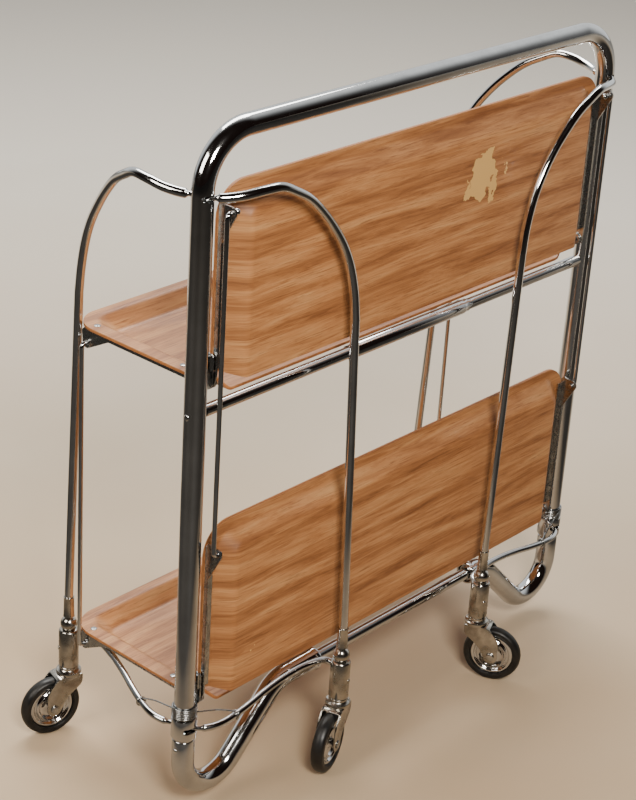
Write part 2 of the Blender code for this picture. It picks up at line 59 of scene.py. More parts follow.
def newObject(name, data):
    thing = bpy.data.objects.new(name, data)
    bpy.context.collection.objects.link(thing)
    return thing


# camera first, so that everything else is judged through it
cameraView = {"place": (-1.5284, frameY - 1.1933, 1.3050), "yaw": 0.861, "pitch": -0.446,
              "roll": 0.065, "lens": 89.15, "sensor": 36.0}


def placeCamera():
    yaw, pitch, roll = cameraView["yaw"], cameraView["pitch"], cameraView["roll"]
    forward = Vector((math.sin(yaw) * math.cos(pitch), math.cos(yaw) * math.cos(pitch),
                      math.sin(pitch)))
    level = Vector((math.cos(yaw), -math.sin(yaw), 0))
    right = level * math.cos(roll) + level.cross(forward) * math.sin(roll)
    up = right.cross(forward)
    data = bpy.data.cameras.new("view")
    data.lens = cameraView["lens"]
    data.sensor_fit = "VERTICAL"
    data.sensor_height = cameraView["sensor"]
    data.dof.use_dof = False
    camera = newObject("view", data)
    turn = Matrix((right, up, -forward)).transposed().to_4x4()
    camera.matrix_world = Matrix.Translation(cameraView["place"]) @ turn
    bpy.context.scene.camera = camera


placeCamera()


# ---- colours and nodes

def linearColour(text):
    parts = [int(text[i:i + 2], 16) / 255 for i in (1, 3, 5)]
    return (*[p / 12.92 if p <= 0.04045 else ((p + 0.055) / 1.055) ** 2.4 for p in parts], 1.0)


def perMetre(millimetres):
    return 1000.0 / millimetres


def feed(tree, node, inputs):
    # inputs are numbers, colours or the output sockets that feed them
    for key, value in inputs.items():
        if isinstance(value, bpy.types.NodeSocket):
            tree.links.new(value, node.inputs[key])
        else:
            node.inputs[key].default_value = value


def addNode(tree, kind, inputs=None, stops=(), **settings):
    # stops are the places and colours of a colour ramp
    node = tree.nodes.new("ShaderNode" + kind)
    for key, value in settings.items():
        setattr(node, key, value)
    feed(tree, node, inputs or {})
    if stops:
        ramp = node.color_ramp
        while len(ramp.elements) < len(stops):
            ramp.elements.new(1.0)
        for element, (place, colour) in zip(ramp.elements, stops):
            element.position = place
            element.color = linearColour(colour)
    return node


def newMaterial(name, metallic, roughness, colour):
    material = bpy.data.materials.new(name)
    material.use_nodes = True
    material.diffuse_color = linearColour(colour)
    shader = material.node_tree.nodes["Principled BSDF"]
    feed(material.node_tree, shader, {
        "Metallic": metallic, "Roughness": roughness, "Base Color": linearColour(colour)})
    return material, material.node_tree, shader


metalLook = {
    # bright nickel-chrome plate on polished steel tube: a mirror, hazed in soft clouds
    "chromePlate": {"dark": "#C9CACB", "light": "#E6E7E8", "smooth": 0.045, "dull": 0.17,
                    "cloud": 38, "grit": 0.9, "depth": 0.00002, "strength": 0.10},
    # rolled steel strip with bright zinc plate: satin, faintly mottled
    "zincPlatedSteel": {"dark": "#8F9090", "light": "#C6C7C6", "smooth": 0.20, "dull": 0.38,
                        "cloud": 9, "grit": 0.6, "depth": 0.00004, "strength": 0.25},
    # pressed and cast caster metal, nickel plated and a little tarnished: soft warm grey
    "tarnishedNickel": {"dark": "#8B867D", "light": "#CFCBC3", "smooth": 0.14, "dull": 0.36,
                        "cloud": 14, "grit": 0.8, "depth": 0.00004, "strength": 0.25},
}


def makeMetal(name):
    look = metalLook[name]
    material, tree, shader = newMaterial(name, 1.0, look["dull"], look["light"])
    place = addNode(tree, "TexCoord").outputs["Object"]
    cloud = addNode(tree, "TexNoise", {
        "Vector": place, "Scale": perMetre(look["cloud"]), "Detail": 5.0, "Roughness": 0.6})
    haze = addNode(tree, "MapRange", {
        "Value": cloud.outputs["Fac"], "From Min": 0.38, "From Max": 0.78,
        "To Min": look["smooth"], "To Max": look["dull"]})
    tint = addNode(tree, "ValToRGB", {"Fac": cloud.outputs["Fac"]}, [
        (0.30, look["light"]), (0.75, look["dark"])])
    grit = addNode(tree, "TexNoise", {
        "Vector": place, "Scale": perMetre(look["grit"]), "Detail": 3.0})
    bump = addNode(tree, "Bump", {
        "Height": grit.outputs["Fac"], "Strength": look["strength"], "Distance": look["depth"]})
    feed(tree, shader, {"Base Color": tint.outputs["Color"], "Normal": bump.outputs["Normal"],
                        "Roughness": haze.outputs["Result"]})
    return material


laminateLook = {"dark": "#7F4E2C", "middle": "#A26C40", "light": "#B98253", "pale": "#CB9A68",
                "pore": "#6E4023", "straw": "#D9B06C", "grainLength": 120, "grainWidth": 7.5,
                "bandLength": 700, "bandWidth": 130, "bandShare": 0.16, "poreLength": 30,
                "poreWidth": 1.3, "smooth": 0.32, "dull": 0.50, "underside": -0.0186,
                "tearPlace": (0.080, -0.0202, 0.628), "tearReach": 0.063, "tearFringe": 0.075,
                "tearGrain": 16, "speckPlace": (-0.252, -0.0202, 0.178), "speckReach": 0.026,
                "speckSpacing": 9, "speckSize": 0.20}


def makeLaminate():
    # walnut-grained melamine laminate pressed to shape: satin print of straight grain along
    # the tray, with a torn spot and a few specks on the undersides that face outwards
    look = laminateLook
    material, tree, shader = newMaterial("walnutLaminate", 0.0, 0.4, look["middle"])
    place = addNode(tree, "TexCoord").outputs["Object"]
    flat = addNode(tree, "Attribute", attribute_name="grain").outputs["Vector"]

    def stretched(length, width):
        return addNode(tree, "Mapping", {"Vector": flat, "Scale": (
            perMetre(length), perMetre(width), 1.0)}).outputs["Vector"]

    def distanceTo(point):
        return addNode(tree, "VectorMath", {
            0: place, 1: (point[0], frameY + point[1], point[2])},
            operation="DISTANCE").outputs["Value"]

    grain = addNode(tree, "TexNoise", {
        "Vector": stretched(look["grainLength"], look["grainWidth"]), "Scale": 1.0,
        "Detail": 8.0, "Roughness": 0.68, "Distortion": 0.9})
    # broad arched figure, as in a flat-sawn board
    figure = addNode(tree, "TexWave", {
        "Vector": stretched(look["bandLength"], look["bandWidth"]), "Scale": 1.0,
        "Distortion": 14.0, "Detail": 4.0, "Detail Scale": 0.8, "Detail Roughness": 0.65},
        wave_type="BANDS", bands_direction="Y")
    both = addNode(tree, "Mix", {
        0: look["bandShare"], 2: grain.outputs["Fac"], 3: figure.outputs["Fac"]},
        data_type="FLOAT")
    tone = addNode(tree, "ValToRGB", {"Fac": both.outputs[0]}, [
        (0.30, look["dark"]), (0.44, look["middle"]), (0.56, look["light"]),
        (0.72, look["pale"])])
    # open pores: short dark dashes, drawn wider than the real 0.3 mm so that they show
    pores = addNode(tree, "TexNoise", {
        "Vector": stretched(look["poreLength"], look["poreWidth"]), "Scale": 1.0,
        "Detail": 3.0, "Roughness": 0.7, "Distortion": 0.3})
    dash = addNode(tree, "MapRange", {
        "Value": pores.outputs["Fac"], "From Min": 0.53, "From Max": 0.72,
        "To Min": 0.0, "To Max": 0.75})
    wood = addNode(tree, "Mix", {
        0: dash.outputs["Result"], 6: tone.outputs["Color"], 7: linearColour(look["pore"])},
        data_type="RGBA")

    # torn spot: a ragged round patch where the printed sheet is gone
    ragged = addNode(tree, "TexNoise", {
        "Vector": place, "Scale": perMetre(look["tearGrain"]), "Detail": 5.0})
    uneven = addNode(tree, "Math", {
        0: ragged.outputs["Fac"], 1: look["tearFringe"], 2: distanceTo(look["tearPlace"])},
        operation="MULTIPLY_ADD")
    inTear = addNode(tree, "Math", {
        0: uneven.outputs["Value"], 1: look["tearReach"]}, operation="LESS_THAN")
    # specks: small chips round one corner
    chips = addNode(tree, "TexVoronoi", {
        "Vector": place, "Scale": perMetre(look["speckSpacing"])})
    faded = addNode(tree, "MapRange", {
        "Value": distanceTo(look["speckPlace"]), "From Min": 0.0,
        "From Max": look["speckReach"], "To Min": look["speckSize"], "To Max": 0.0})
    inSpeck = addNode(tree, "Math", {
        0: chips.outputs["Distance"], 1: faded.outputs["Result"]}, operation="LESS_THAN")
    worn = addNode(tree, "Math", {
        0: inTear.outputs["Value"], 1: inSpeck.outputs["Value"]}, operation="MAXIMUM")
    depth = addNode(tree, "SeparateXYZ", {0: place})
    outside = addNode(tree, "Math", {
        0: depth.outputs["Y"], 1: frameY + look["underside"]}, operation="LESS_THAN")
    bare = addNode(tree, "Math", {
        0: worn.outputs["Value"], 1: outside.outputs["Value"]}, operation="MULTIPLY")
    colour = addNode(tree, "Mix", {
        0: bare.outputs["Value"], 6: wood.outputs[2], 7: linearColour(look["straw"])},
        data_type="RGBA")
    sheen = addNode(tree, "MapRange", {
        "Value": both.outputs[0], "From Min": 0.3, "From Max": 0.7,
        "To Min": look["dull"], "To Max": look["smooth"]})
    lowered = addNode(tree, "Math", {
        0: worn.outputs["Value"], 1: -0.8, 2: pores.outputs["Fac"]},
        operation="MULTIPLY_ADD")
    bump = addNode(tree, "Bump", {
        "Height": lowered.outputs["Value"], "Strength": 0.35, "Distance": 0.0002})
    feed(tree, shader, {"Base Color": colour.outputs[2], "Roughness": sheen.outputs["Result"],
                        "Normal": bump.outputs["Normal"]})
    return material


edgeLook = {"face": "#7C4B28", "core": "#B87A45", "line": "#4C2B17", "back": "#A2673A",
            "mottle": 5}


def makePlyEdge():
    # sanded edge of the two-ply board: two red-brown plies with a dark glue line between
    look = edgeLook
    material, tree, shader = newMaterial("sandedPlyEdge", 0.0, 0.55, look["core"])
    across = addNode(tree, "Attribute", attribute_name="ply")
    plies = addNode(tree, "ValToRGB", {"Fac": across.outputs["Fac"]}, [
        (0.0, look["face"]), (0.12, look["core"]), (0.44, look["core"]),
        (0.50, look["line"]), (0.56, look["back"]), (1.0, look["back"])])
    place = addNode(tree, "TexCoord").outputs["Object"]
    spots = addNode(tree, "TexNoise", {
        "Vector": place, "Scale": perMetre(look["mottle"]), "Detail": 4.0})
    shade = addNode(tree, "MapRange", {
        "Value": spots.outputs["Fac"], "To Min": 0.72, "To Max": 1.25})
    mixed = addNode(tree, "VectorMath", {
        0: plies.outputs["Color"], "Scale": shade.outputs["Result"]}, operation="SCALE")
    bump = addNode(tree, "Bump", {
        "Height": spots.outputs["Fac"], "Strength": 0.3, "Distance": 0.0002})
    feed(tree, shader, {"Base Color": mixed.outputs["Vector"],
                        "Normal": bump.outputs["Normal"]})
    return material


rubberLook = {"clean": "#0C0C0D", "dusty": "#26241F", "dust": 11, "grit": 0.7}


def makeRubber():
    # moulded black rubber tyre: matt, with grey dust in broad patches
    look = rubberLook
    material, tree, shader = newMaterial("mouldedRubber", 0.0, 0.7, look["clean"])
    place = addNode(tree, "TexCoord").outputs["Object"]
    dust = addNode(tree, "TexNoise", {
        "Vector": place, "Scale": perMetre(look["dust"]), "Detail": 6.0})
    colour = addNode(tree, "ValToRGB", {"Fac": dust.outputs["Fac"]}, [
        (0.42, look["clean"]), (0.80, look["dusty"])])
    matt = addNode(tree, "MapRange", {
        "Value": dust.outputs["Fac"], "To Min": 0.22, "To Max": 0.62})
    grit = addNode(tree, "TexNoise", {
        "Vector": place, "Scale": perMetre(look["grit"]), "Detail": 2.0})
    bump = addNode(tree, "Bump", {
        "Height": grit.outputs["Fac"], "Strength": 0.4, "Distance": 0.0001})
    feed(tree, shader, {"Base Color": colour.outputs["Color"], "Normal": bump.outputs["Normal"],
                        "Roughness": matt.outputs["Result"]})
    return material


chromePlate = makeMetal("chromePlate")
zincPlatedSteel = makeMetal("zincPlatedSteel")
tarnishedNickel = makeMetal("tarnishedNickel")
walnutLaminate = makeLaminate()
sandedPlyEdge = makePlyEdge()
mouldedRubber = makeRubber()
print("materials made")


# ---- shaping tools

def cleaned(bm):
    bmesh.ops.remove_doubles(bm, verts=bm.verts, dist=0.000002)
    bmesh.ops.recalc_face_normals(bm, faces=bm.faces)
    return bm


def meshOf(bm, name="shape"):
    # the bmesh is used up
    mesh = bpy.data.meshes.new(name)
    bm.to_mesh(mesh)
    bm.free()
    return mesh


def bmeshOf(mesh):
    # the mesh is used up
    bm = bmesh.new()
    bm.from_mesh(mesh)
    bpy.data.meshes.remove(mesh)
    return bm


def evaluatedMesh(thing):
    # an object's mesh with its modifiers and bevel applied; the object is used up
    graph = bpy.context.evaluated_depsgraph_get()
    mesh = bpy.data.meshes.new_from_object(thing.evaluated_get(graph))
    bpy.data.objects.remove(thing, do_unlink=True)
    return mesh


def addPiece(name, bm, body, *materials):
    # stands for the CAD node of the same name, if there is one; named after it in camelCase
    first, *rest = name.split("_")
    label = first + "".join(word.capitalize() for word in rest)
    mesh = meshOf(cleaned(bm), label)
    for material in materials:
        mesh.materials.append(material)
    mesh.shade_smooth()
    mesh.set_sharp_from_angle(angle=math.radians(35))
    piece = newObject(label, mesh)
    if isinstance(body, str):
        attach(piece, body)
    else:
        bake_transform(piece)
    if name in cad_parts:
        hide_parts(name)


def roundedRoute(corners, radii, steps=24):
    # straight runs with an arc of the given radius at each inner corner
    corners = [Vector(corner) for corner in corners]
    route = [corners[0]]
    for before, corner, after, radius in zip(corners, corners[1:], corners[2:], radii):
        back, ahead = (before - corner).normalized(), (after - corner).normalized()
        half = back.angle(ahead) / 2
        centre = corner + (back + ahead).normalized() * radius / math.sin(half)
        first = corner + back * radius / math.tan(half) - centre
        last = corner + ahead * radius / math.tan(half) - centre
        sweep = first.angle(last)
        for i in range(steps + 1):
            mix = (first * math.sin((1 - i / steps) * sweep)
                   + last * math.sin(i / steps * sweep))
            route.append(centre + mix / math.sin(sweep))
    route.append(corners[-1])
    return route


def smoothRoute(knots, steps=10):
    # one smooth curve through every knot
    knots = [Vector(knot) for knot in knots]
    ends = [2 * knots[0] - knots[1], *knots, 2 * knots[-1] - knots[-2]]
    route = [knots[0]]
    for a, b, c, d in zip(ends, ends[1:], ends[2:], ends[3:]):
        for i in range(1, steps + 1):
            t = i / steps
            route.append(0.5 * (2 * b + (c - a) * t + (2 * a - 5 * b + 4 * c - d) * t ** 2
                                + (3 * b - a - 3 * c + d) * t ** 3))
    return route


def sweepBar(route, radii, sides=32):
    # round bar or wire along a route; radii is one number or one per point
    if isinstance(radii, float):
        radii = [radii] * len(route)
    curve = bpy.data.curves.new("route", "CURVE")
    curve.dimensions = "3D"
    curve.fill_mode = "FULL"
    curve.twist_mode = "MINIMUM"
    curve.bevel_depth = 1.0
    curve.bevel_resolution = (sides - 4) // 2
    curve.use_fill_caps = True
    spline = curve.splines.new("POLY")
    spline.points.add(len(route) - 1)
    for point, place, radius in zip(spline.points, route, radii):
        point.co = (*place, 1.0)
        point.radius = radius
    return cleaned(bmeshOf(evaluatedMesh(newObject("route", curve))))


def lathe(profile, steps):
    # a closed (radius, height) profile spun about Z
    bm = bmesh.new()
    verts = [bm.verts.new((radius, 0, height)) for radius, height in profile]
    edges = [bm.edges.new(pair) for pair in zip(verts, verts[1:] + verts[:1])
             if not (pair[0].co.x == 0 and pair[1].co.x == 0)]
    bmesh.ops.spin(bm, geom=verts + edges, cent=(0, 0, 0), axis=(0, 0, 1),
                   angle=math.tau, steps=steps, use_merge=True, use_duplicate=False)
    return cleaned(bm)


def moved(bm, matrix):
    bmesh.ops.transform(bm, matrix=matrix, verts=bm.verts)
    if matrix.determinant() < 0:
        bmesh.ops.reverse_faces(bm, faces=bm.faces)
    return bm


def combined(bm, others, operation):
    # exact cuts or unions, one after another; the shapes given are used up
    things = []
    for shape in [bm, *others]:
        bmesh.ops.recalc_face_normals(shape, faces=shape.faces)
        things.append(newObject("shape", meshOf(shape)))
    for tool in things[1:]:
        step = things[0].modifiers.new("step", "BOOLEAN")
        step.operation = operation
        step.solver = "EXACT"
        step.object = tool
    result = bmeshOf(evaluatedMesh(things[0]))
    for tool in things[1:]:
        bpy.data.objects.remove(tool, do_unlink=True)
    return result


def merged(whole, *shapes):
    # separate small shapes kept in one mesh
    for shape in shapes:
        mesh = meshOf(shape)
        whole.from_mesh(mesh)
        bpy.data.meshes.remove(mesh)
    return whole


def block(low, high, soften=0.0, axis=0, segments=4):
    # a block, with the edges that run along one axis rounded over
    low, high = Vector(low), Vector(high)
    bm = bmesh.new()
    bmesh.ops.create_cube(bm, size=1.0, matrix=Matrix.Translation((low + high) / 2)
                          @ Matrix.Diagonal((*(high - low), 1.0)))
    if soften:
        edges = [edge for edge in bm.edges if
                 abs((edge.verts[1].co - edge.verts[0].co).normalized()[axis]) > 0.9]
        bmesh.ops.bevel(bm, geom=edges, affect="EDGES", offset=soften, segments=segments,
                        profile=0.5, material=-1)
    return bm


def rod(start, end, radius, sides=24):
    start, end = Vector(start), Vector(end)
    bm = bmesh.new()
    turn = (end - start).to_track_quat("Z", "Y").to_matrix().to_4x4()
    bmesh.ops.create_cone(bm, cap_ends=True, segments=sides, radius1=radius, radius2=radius,
                          depth=(end - start).length,
                          matrix=Matrix.Translation((start + end) / 2) @ turn)
    return bm


def domeHead(place, towards, radius, height):
    # a low round head that sits on a surface, sunk a little into it
    sunk, rim = -0.0008, 0.18
    profile = [(0, sunk), (radius, sunk), (radius, height * rim)]
    profile += [(radius * math.cos(angle), height * (rim + 0.82 * math.sin(angle)))
                for angle in (0.35, 0.7, 1.05, 1.35)]
    profile.append((0, height))
    turn = Vector(towards).to_track_quat("Z", "Y").to_matrix().to_4x4()
    return moved(lathe(profile, 24), Matrix.Translation(place) @ turn)


def bevelSharp(bm, width, angle=40):
    edges = [edge for edge in bm.edges if len(edge.link_faces) == 2
             and edge.calc_face_angle() > math.radians(angle)]
    bmesh.ops.bevel(bm, geom=edges, affect="EDGES", offset=width, segments=2,
                    profile=0.5, material=-1, clamp_overlap=True)


# ---- upright frame

upright = {"postX": 0.318, "top": 0.748, "bend": 0.056, "radius": 0.011, "wall": 0.0015,
           "foot": 0.073, "hoopHeight": 0.691, "armHeight": 0.113, "slotHalf": 0.0082,
           "slotTall": 0.0030, "slotDepth": 0.0055, "railHeight": 0.4705,
           "rivet": (0.0032, 0.0016)}
sides = {"left": -1, "right": 1}
inPlane = Matrix.Translation((0, frameY, 0))
clearance = 0.0003  # between neighbours, and how far a rivet stands into a round tube


def mirrored(side):
    # side pieces are drawn for the left
    return Matrix.Diagonal((-sides[side], 1, 1, 1))


def wallSlots(x, height, tall, outer, half):
    # windows towards the near and the far side, rounded at both ends and cut right through
    inner, past = upright["slotDepth"], outer + 0.003
    return [moved(block((x - half, min(sign * inner, sign * past), height - tall),
                        (x + half, max(sign * inner, sign * past), height + tall),
                        tall * 0.9, 1, 5), inPlane) for sign in (-1, 1)]


def makeHandleTube():
    size = upright

    def swept(foot, radius):
        corners = [(-size["postX"], 0, foot), (-size["postX"], 0, size["top"]),
                   (size["postX"], 0, size["top"]), (size["postX"], 0, foot)]
        route = roundedRoute(corners, (size["bend"],) * 2, 32)
        return moved(sweepBar(route, radius, 48), inPlane)

    tools = [swept(size["foot"] - 0.005, size["radius"] - size["wall"])]
    for sign in sides.values():
        for height in (size["hoopHeight"], size["armHeight"]):
            tools += wallSlots(sign * size["postX"], height, size["slotTall"],
                               size["radius"], size["slotHalf"])
    tube = combined(swept(size["foot"], size["radius"]), tools, "DIFFERENCE")
    out = size["postX"] + size["radius"] - clearance
    heads = [moved(domeHead((sign * out, 0, size["railHeight"]), (sign, 0, 0), *size["rivet"]),
                   inPlane) for sign in sides.values()]
    return merged(tube, *heads)


addPiece("handle_tube", makeHandleTube(), "frame", chromePlate)

hook = {"radius": 0.012, "wall": 0.0012, "top": 0.0985, "low": 0.0285, "bend": 0.041,
        "rise": math.radians(45), "shoulder": 0.045, "reach": {"left": 0.200, "right": 0.168},
        "lip": 0.0132, "railHeight": 0.108, "boreDepth": 0.045, "rivet": (0.0029, 0.0015),
        "rivetDrop": 0.012}


def makeHook(side):
    # down from the post, round the bottom, up at 45 degrees and level to a rolled lip
    level = hook["railHeight"]
    turn = math.pi / 2 + hook["rise"]
    lowCorner = hook["low"] + hook["bend"] - hook["bend"] * math.tan(turn / 2)
    run = (level - lowCorner) / math.tan(hook["rise"])
    reach, full, lip = hook["reach"][side], hook["radius"], hook["lip"]
    corners = [(0, 0, hook["top"]), (0, 0, lowCorner), (run, 0, level), (reach, 0, level)]
    route = roundedRoute(corners, (hook["bend"], hook["shoulder"]), 28)
    # distance from each end and radius there: a softened top, and the lip at the mouth
    top = [(0.0, full - 0.0008), (0.0003, full - 0.0003), (0.0009, full)]
    mouth = [(0.0075, full), (0.0060, full + 0.0007), (0.0048, lip), (0.0016, lip),
             (0.0005, lip - 0.0003), (0.0, lip - 0.0008)]
    places = [route[0] - Vector((0, 0, drop)) for drop, _ in top] + route[1:-1]
    places += [Vector((reach - back, 0, level)) for back, _ in mouth]
    radii = [radius for _, radius in top] + [full] * (len(route) - 2)
    bar = sweepBar(places, radii + [radius for _, radius in mouth], 48)
    bore = rod((reach - hook["boreDepth"], 0, level), (reach + 0.004, 0, level),
               full - hook["wall"], 48)
    bar = combined(bar, [bore], "DIFFERENCE")
    head = domeHead((-full + clearance, 0, hook["top"] - hook["rivetDrop"]), (-1, 0, 0),
                    *hook["rivet"])
    return moved(merged(bar, head), inPlane @ mirrored(side) @ Matrix.Translation(
        (-upright["postX"], 0, 0)))


for side in sides:
    addPiece(side + "_hook_tube", makeHook(side), "frame", chromePlate)

rails = {"upperRadius": 0.0063, "sleeveRadius": 0.0082, "sleeveHalf": 0.098,
         "crimp": 0.0073, "lowerRadius": 0.0068}


def makeUpperRail():
    end = upright["postX"] - upright["radius"] - clearance
    return moved(sweepBar([Vector((x, 0, upright["railHeight"])) for x in (-end, end)],
                          rails["upperRadius"], 32), inPlane)


def makeSleeve():
    # a slimmer tube pressed onto the rail, rolled in at both ends
    half, full, crimp = rails["sleeveHalf"], rails["sleeveRadius"], rails["crimp"]
    inner = rails["upperRadius"] + clearance
    ends = [(crimp - 0.0004, half), (crimp, half - 0.0004), (crimp, half - 0.0052),
            (crimp + 0.0003, half - 0.0062), (full - 0.0002, half - 0.0084),
            (full, half - 0.0092)]
    profile = ends + [(radius, -height) for radius, height in reversed(ends)]
    profile += [(inner, -half), (inner, half)]
    lay = Matrix.Translation((0, 0, upright["railHeight"])) @ Matrix.Rotation(
        math.pi / 2, 4, "Y")
    return moved(lathe(profile, 48), inPlane @ lay)


def makeLowerRail():
    # a plug at each end fills a hook's mouth, then a rounded shoulder down to the bar
    plug = hook["radius"] - hook["wall"] - 2 * clearance
    left = -upright["postX"] + hook["reach"]["left"]
    right = upright["postX"] - hook["reach"]["right"]
    full = rails["lowerRadius"]
    steps = [(-0.010, plug), (-0.0032, plug), (-0.0026, plug - 0.0004),
             (-0.0022, full + 0.0010), (-0.0014, full + 0.0002), (0.0, full)]
    route = [Vector((left + x, 0, hook["railHeight"])) for x, _ in steps]
    route += [Vector((right - x, 0, hook["railHeight"])) for x, _ in reversed(steps)]
    radii = [radius for _, radius in steps]
    return moved(sweepBar(route, radii + radii[::-1], 40), inPlane)


addPiece("upper_rail", makeUpperRail(), "frame", chromePlate)
addPiece("upper_rail_sleeve", makeSleeve(), "frame", chromePlate)
addPiece("lower_rail", makeLowerRail(), "frame", chromePlate)

collar = {"inner": 0.0113, "radius": 0.0136, "half": 0.012, "tall": 0.0033, "slot": 0.0102}
coil = {"radius": 0.0126, "wire": 0.0009, "turns": 6, "pitch": 0.0021, "perTurn": 28}
coilBase = upright["armHeight"] + collar["half"] + clearance + coil["wire"]
coilTop = coilBase + coil["turns"] * coil["pitch"]


def makeCollar(sign):
    low, high = upright["armHeight"] - collar["half"], upright["armHeight"] + collar["half"]
    inner, outer = collar["inner"], collar["radius"]
    profile = [(inner, low), (outer - 0.0010, low), (outer - 0.0003, low + 0.0003),
               (outer, low + 0.0010), (outer, high - 0.0010), (outer - 0.0003, high - 0.0003),
               (outer - 0.0010, high), (inner, high)]
    x = sign * upright["postX"]
    ring = moved(lathe(profile, 56), inPlane @ Matrix.Translation((x, 0, 0)))
    slots = wallSlots(x, upright["armHeight"], collar["tall"], outer, collar["slot"])
    return combined(ring, slots, "DIFFERENCE")


def makeCoil(sign):
    route = []
    for i in range(coil["turns"] * coil["perTurn"] + 1):
        angle = math.tau * i / coil["perTurn"]
        route.append(Vector((coil["radius"] * math.cos(angle),
                             coil["radius"] * math.sin(angle),
                             coilBase + coil["pitch"] * i / coil["perTurn"])))
    return moved(sweepBar(route, coil["wire"], 12), inPlane @ Matrix.Translation(
        (sign * upright["postX"], 0, 0)))


for side, sign in sides.items():
    addPiece(side + "_collar", makeCollar(sign), "frame", chromePlate)
    addPiece(side + "_gate_spring", makeCoil(sign), "frame", zincPlatedSteel)
print("upright frame made")


# ---- trays

tray = {"half": 0.3015, "reach": 0.1990, "inner": 0.0020, "notch": 0.0125, "drop": 0.0010,
        "depth": 0.0160, "sheet": 0.0032, "corner": 0.034, "cornerStep": 0.012,
        "floorCorner": 0.012, "endFlange": 0.0170, "sideFlange": 0.0120, "wallRun": 0.0155,
        "crease": 0.0034, "skinShift": 0.7,
        "height": {"upper": 0.5000, "lower": 0.1415},
        "sheetShift": {("near", "upper"): (0.0, 0.0, 0.0), ("near", "lower"): (1.3, 0.4, 2.1),
                       ("far", "upper"): (2.2, 0.9, 4.3), ("far", "lower"): (3.7, 1.6, 6.4)}}
depths = {"near": -1, "far": 1}


def trayOutline(bm, across, along, radius, height):
    # a rounded rectangle as deep as two trays back to back; half of it is cut away later
    x, y = tray["half"] - across, tray["reach"] - along - tray["inner"]
    face = bm.faces.new([bm.verts.new((sx * x, tray["inner"] + sy * y, height))
                         for sx, sy in ((1, 1), (-1, 1), (-1, -1), (1, -1))])
    bmesh.ops.bevel(bm, geom=list(face.verts), affect="VERTICES", offset=radius,
                    segments=14, profile=0.5, material=-1)
    outline = [f for f in bm.faces if abs(f.calc_center_median().z - height) < 1e-7
               and len(f.verts) > 20][-1]
    return outline, list(outline.edges)


def makeTray():
    size = tray
    rim = -size["drop"]
    bm = bmesh.new()
    flange, flangeEdges = trayOutline(bm, 0, 0, size["corner"], rim)
    bmesh.ops.delete(bm, geom=[flange], context="FACES_ONLY")
    crest, crestEdges = trayOutline(bm, size["endFlange"], size["sideFlange"],
                                    size["corner"] - size["cornerStep"], rim)
    bmesh.ops.delete(bm, geom=[crest], context="FACES_ONLY")
    bmesh.ops.bridge_loops(bm, edges=flangeEdges + crestEdges)
    floor, floorEdges = trayOutline(bm, size["endFlange"] + size["wallRun"],
                                    size["sideFlange"] + size["wallRun"],
                                    size["floorCorner"], rim - size["depth"])
    bmesh.ops.bridge_loops(bm, edges=crestEdges + floorEdges)
    bmesh.ops.bevel(bm, geom=crestEdges + floorEdges, affect="EDGES", offset=size["crease"],
                    segments=4, profile=0.5, material=-1, clamp_overlap=True)
    # keep the outer half, and chamfer the inner corners to clear the pivots
    floorHalf = size["half"] - size["endFlange"] - size["wallRun"]
    rise, run = size["notch"] - size["inner"], size["half"] - floorHalf
    for place, normal in (((0, size["inner"], 0), (0, 1, 0)),
                          ((floorHalf, size["inner"], 0), (-rise, run, 0)),
                          ((-floorHalf, size["inner"], 0), (rise, run, 0))):
        bmesh.ops.bisect_plane(bm, geom=bm.verts[:] + bm.edges[:] + bm.faces[:],
                               dist=0.000001, plane_co=place, plane_no=normal,
                               clear_inner=True)
    bmesh.ops.recalc_face_normals(bm, faces=bm.faces)
    if sum(face.normal.z * face.calc_area() for face in bm.faces) < 0:
        bmesh.ops.reverse_faces(bm, faces=bm.faces)
    shell = meshOf(bm)
    count = len(shell.vertices)
    shell.materials.append(walnutLaminate)
    shell.materials.append(sandedPlyEdge)
    holder = newObject("shell", shell)
    wall = holder.modifiers.new("wall", "SOLIDIFY")
    wall.thickness = size["sheet"]
    wall.offset = -1.0
    wall.use_even_offset = True
    wall.material_offset_rim = 1
    solid = evaluatedMesh(holder)
    # 0 on the upper skin and 1 on the lower, for the plies seen at the edge
    skin = [0.0 if i < count else 1.0 for i in range(len(solid.vertices))]
    ply = solid.attributes.new("ply", "FLOAT", "POINT")
    ply.data.foreach_set("value", skin)
    # the printed grain lies as if the sheet were still flat
    grain = solid.attributes.new("grain", "FLOAT_VECTOR", "POINT")
    for vertex, layer, value in zip(solid.vertices, skin, grain.data):
        value.vector = (vertex.co.x, vertex.co.y, size["skinShift"] * layer)
    return solid


def trayMatrix(depth, level):
    fold = Matrix.Identity(4)
    if depth == "near":
        fold = Matrix.Rotation(-math.pi / 2, 4, "X") @ Matrix.Rotation(math.pi, 4, "Z")
    return inPlane @ Matrix.Translation((0, 0, tray["height"][level])) @ fold


screw = {"radius": 0.0036, "height": 0.0009, "x": 0.2915, "ys": (0.044, 0.168),
         "slot": 0.0009}


def makeScrews():
    # slotted round heads through the end flanges into the steel strips
    heads = []
    for sx in (-1, 1):
        for i, y in enumerate(screw["ys"]):
            head = domeHead((0, 0, 0), (0, 0, 1), screw["radius"], screw["height"])
            cutter = block((-0.01, -screw["slot"] / 2, screw["height"] * 0.45),
                           (0.01, screw["slot"] / 2, 0.01))
            head = combined(head, [cutter], "DIFFERENCE")
            turn = Matrix.Rotation(0.5 + 1.1 * i + 0.7 * sx, 4, "Z")
            heads.append(moved(head, Matrix.Translation(
                (sx * screw["x"], y, -tray["drop"])) @ turn))
    return merged(*heads)


link = {"y": 0.176, "z": -0.020, "radius": 0.0025, "outboard": 0.0036, "ball": 0.0033,
        "bend": 0.0045, "upperEnd": 0.0077, "lowerEnd": 0.0063}


